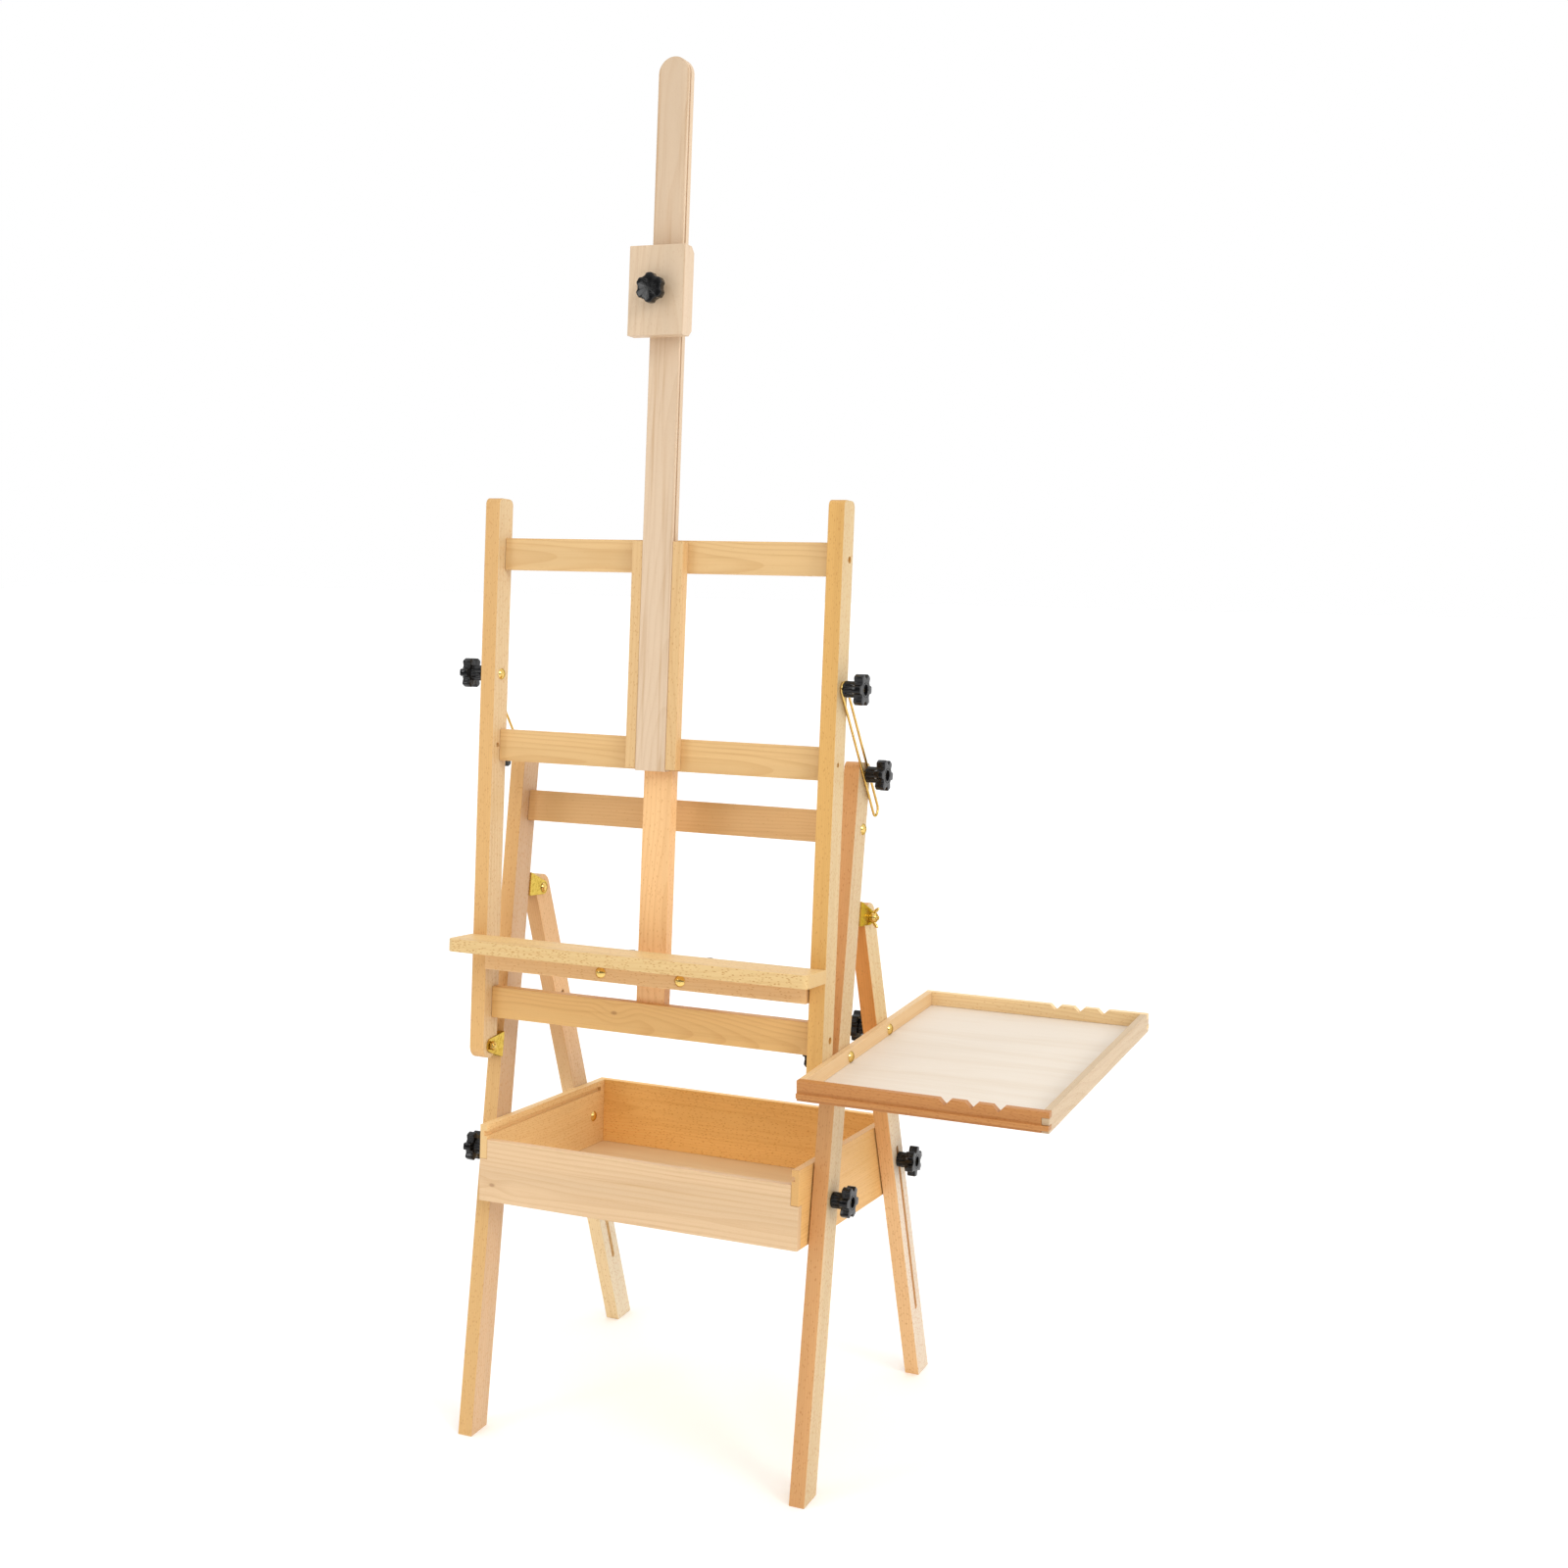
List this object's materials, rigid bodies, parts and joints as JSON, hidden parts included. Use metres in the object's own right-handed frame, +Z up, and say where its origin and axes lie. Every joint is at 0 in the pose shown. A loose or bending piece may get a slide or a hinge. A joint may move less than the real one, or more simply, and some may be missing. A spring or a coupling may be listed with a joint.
{
  "type": "artist easel",
  "caption": "Folding wooden studio easel with a sliding mast, canvas clamp, height-set canvas ledge, tilting frame, slung storage box and a side brush tray",
  "frame": {"origin": "on the floor, under the middle of the easel's bounding box with the tray fitted on the right", "axes": "+Z up, +Y towards the back of the easel, +X towards its right side, where the tray is"},
  "size_m": [0.8064, 0.4518, 1.6945],
  "materials": {
    "beech": "clear satin oil",
    "plywood": "sanded",
    "black_plastic": "moulded gloss",
    "brass": "bright, lightly worn"
  },
  "bodies": {
    "front_legs": {"front_leg_left": "beech", "front_leg_right": "beech", "front_leg_rail": "beech", "lower_hinge_bracket_left": "brass", "lower_hinge_bracket_right": "brass", "upper_hinge_bracket_left": "brass", "upper_hinge_bracket_right": "brass", "tilt_hinge_bolt_left": "brass", "tilt_hinge_bolt_right": "brass", "rear_hinge_bolt_left": "brass", "rear_hinge_bolt_right": "brass"},
    "canvas_frame": {"stile_left": "beech", "stile_right": "beech", "lower_rail": "beech", "middle_rail": "beech", "upper_rail": "beech", "centre_bar": "beech", "mast_guide_left": "beech", "mast_guide_right": "beech"},
    "stays": {"stay_left": "brass", "stay_right": "brass"},
    "mast": {"mast": "beech"},
    "canvas_clamp": {"clamp_block": "beech", "clamp_channel": "brass"},
    "ledge": {"ledge_board": "beech", "ledge_batten": "beech", "ledge_clamp_plate": "beech", "ledge_bolt_left": "brass", "ledge_bolt_right": "brass"},
    "rear_legs": {"rear_leg_left": "beech", "rear_leg_right": "beech"},
    "box": {"box_front_wall": "beech", "box_back_wall": "beech", "box_left_wall": "beech", "box_right_wall": "beech", "box_floor": "plywood"},
    "box_rear_bolts": {"box_rear_bolt_left": "brass", "box_rear_bolt_right": "brass"},
    "tray": {"tray_front_rail": "beech", "tray_rear_rail": "beech", "tray_left_wall": "beech", "tray_right_wall": "beech", "tray_floor": "plywood", "tray_front_bolt": "brass"},
    "stay_leg_knob_left": {"stay_leg_knob_left": "black_plastic"},
    "stay_leg_knob_right": {"stay_leg_knob_right": "black_plastic"},
    "box_front_knob_left": {"box_front_knob_left": "black_plastic"},
    "box_front_knob_right": {"box_front_knob_right": "black_plastic"},
    "tray_front_knob": {"tray_front_knob": "black_plastic"},
    "stay_frame_knob_left": {"stay_frame_knob_left": "black_plastic"},
    "stay_frame_knob_right": {"stay_frame_knob_right": "black_plastic"},
    "mast_lock_knob": {"mast_lock_knob": "black_plastic"},
    "clamp_knob": {"clamp_knob": "black_plastic"},
    "ledge_knob_left": {"ledge_knob_left": "black_plastic"},
    "ledge_knob_right": {"ledge_knob_right": "black_plastic"},
    "tray_rear_knob": {"tray_rear_knob": "black_plastic"},
    "box_rear_knob_left": {"box_rear_knob_left": "black_plastic"},
    "box_rear_knob_right": {"box_rear_knob_right": "black_plastic"},
    "wing_nut_left": {"wing_nut_left": "brass"},
    "wing_nut_right": {"wing_nut_right": "brass"}
  },
  "joints": [
    {"name": "frame_tilt", "type": "hinge", "parent": "front_legs", "child": "canvas_frame", "pos_m": [-0.1338, -0.13396, 0.49535], "axis": [1, 0, 0], "range_deg": [-2.5, 5.5]},
    {"name": "stay_swing", "type": "hinge", "parent": "canvas_frame", "child": "stays", "pos_m": [-0.1338, -0.08384, 0.96127], "axis": [1, 0, 0], "range_deg": [-3.8, 8.3]},
    {"name": "mast_slide", "type": "slide", "parent": "canvas_frame", "child": "mast", "axis": [0, 0.107, 0.9943], "range_m": [-0.12, 0.12]},
    {"name": "clamp_slide", "type": "slide", "parent": "mast", "child": "canvas_clamp", "axis": [0, 0.107, 0.9943], "range_m": [-0.12, 0.18]},
    {"name": "ledge_slide", "type": "slide", "parent": "canvas_frame", "child": "ledge", "axis": [0, 0.107, 0.9943], "range_m": [-0.022, 0.1]},
    {"name": "rear_leg_fold", "type": "hinge", "parent": "front_legs", "child": "rear_legs", "pos_m": [-0.1338, 0.00429, 0.67218], "axis": [1, 0, 0], "range_deg": [-28.2, 0]},
    {"name": "box_swing", "type": "hinge", "parent": "front_legs", "child": "box", "pos_m": [-0.1338, -0.11394, 0.35205], "axis": [1, 0, 0], "range_deg": [-82.6, 0]},
    {"name": "box_bolt_slide", "type": "slide", "parent": "rear_legs", "child": "box_rear_bolts", "axis": [0, -0.2895, 0.9572], "range_m": [-0.1975, 0]},
    {"name": "tray_slide", "type": "slide", "parent": "front_legs", "child": "tray", "axis": [1, 0, 0], "range_m": [0, 0.25]},
    {"name": "stay_leg_knob_left_turn", "type": "hinge", "parent": "front_legs", "child": "stay_leg_knob_left", "pos_m": [-0.3777, -0.01312, 0.85117], "axis": [-1, 0, 0], "continuous": true},
    {"name": "stay_leg_knob_right_turn", "type": "hinge", "parent": "front_legs", "child": "stay_leg_knob_right", "pos_m": [0.1101, -0.01312, 0.85117], "axis": [1, 0, 0], "continuous": true},
    {"name": "box_front_knob_left_turn", "type": "hinge", "parent": "front_legs", "child": "box_front_knob_left", "pos_m": [-0.3741, -0.11394, 0.35205], "axis": [-1, 0, 0], "continuous": true},
    {"name": "box_front_knob_right_turn", "type": "hinge", "parent": "front_legs", "child": "box_front_knob_right", "pos_m": [0.1065, -0.11394, 0.35205], "axis": [1, 0, 0], "continuous": true},
    {"name": "tray_front_knob_turn", "type": "hinge", "parent": "front_legs", "child": "tray_front_knob", "pos_m": [0.0859, -0.08001, 0.52], "axis": [-1, 0, 0], "continuous": true},
    {"name": "stay_frame_knob_left_turn", "type": "hinge", "parent": "canvas_frame", "child": "stay_frame_knob_left", "pos_m": [-0.3777, -0.08384, 0.96127], "axis": [-1, 0, 0], "continuous": true},
    {"name": "stay_frame_knob_right_turn", "type": "hinge", "parent": "canvas_frame", "child": "stay_frame_knob_right", "pos_m": [0.1101, -0.08384, 0.96127], "axis": [1, 0, 0], "continuous": true},
    {"name": "mast_lock_knob_turn", "type": "hinge", "parent": "canvas_frame", "child": "mast_lock_knob", "pos_m": [-0.1338, -0.0434, 1.10718], "axis": [0, 0.9943, -0.107], "continuous": true},
    {"name": "clamp_knob_turn", "type": "hinge", "parent": "canvas_clamp", "child": "clamp_knob", "pos_m": [-0.1338, -0.07592, 1.42196], "axis": [0, -0.9943, 0.107], "continuous": true},
    {"name": "ledge_knob_left_turn", "type": "hinge", "parent": "ledge", "child": "ledge_knob_left", "pos_m": [-0.1878, -0.0854, 0.60177], "axis": [0, 0.9943, -0.107], "continuous": true},
    {"name": "ledge_knob_right_turn", "type": "hinge", "parent": "ledge", "child": "ledge_knob_right", "pos_m": [-0.0798, -0.0854, 0.60177], "axis": [0, 0.9943, -0.107], "continuous": true},
    {"name": "tray_rear_knob_turn", "type": "hinge", "parent": "rear_legs", "child": "tray_rear_knob", "pos_m": [0.0859, 0.05031, 0.52], "axis": [-1, 0, 0], "continuous": true},
    {"name": "box_rear_knob_left_turn", "type": "hinge", "parent": "box_rear_bolts", "child": "box_rear_knob_left", "pos_m": [-0.3741, 0.10738, 0.33132], "axis": [-1, 0, 0], "continuous": true},
    {"name": "box_rear_knob_right_turn", "type": "hinge", "parent": "box_rear_bolts", "child": "box_rear_knob_right", "pos_m": [0.1065, 0.10738, 0.33132], "axis": [1, 0, 0], "continuous": true},
    {"name": "wing_nut_left_turn", "type": "hinge", "parent": "front_legs", "child": "wing_nut_left", "pos_m": [-0.3759, 0.00429, 0.67218], "axis": [-1, 0, 0], "continuous": true},
    {"name": "wing_nut_right_turn", "type": "hinge", "parent": "front_legs", "child": "wing_nut_right", "pos_m": [0.1083, 0.00429, 0.67218], "axis": [1, 0, 0], "continuous": true}
  ],
  "couplings": [
    {"joint": "stay_swing", "follows": "frame_tilt", "ratio": 1.5},
    {"joint": "box_swing", "follows": "rear_leg_fold", "ratio": 2.9179},
    {"joint": "box_bolt_slide", "follows": "rear_leg_fold", "m_per_rad": 0.4002}
  ]
}
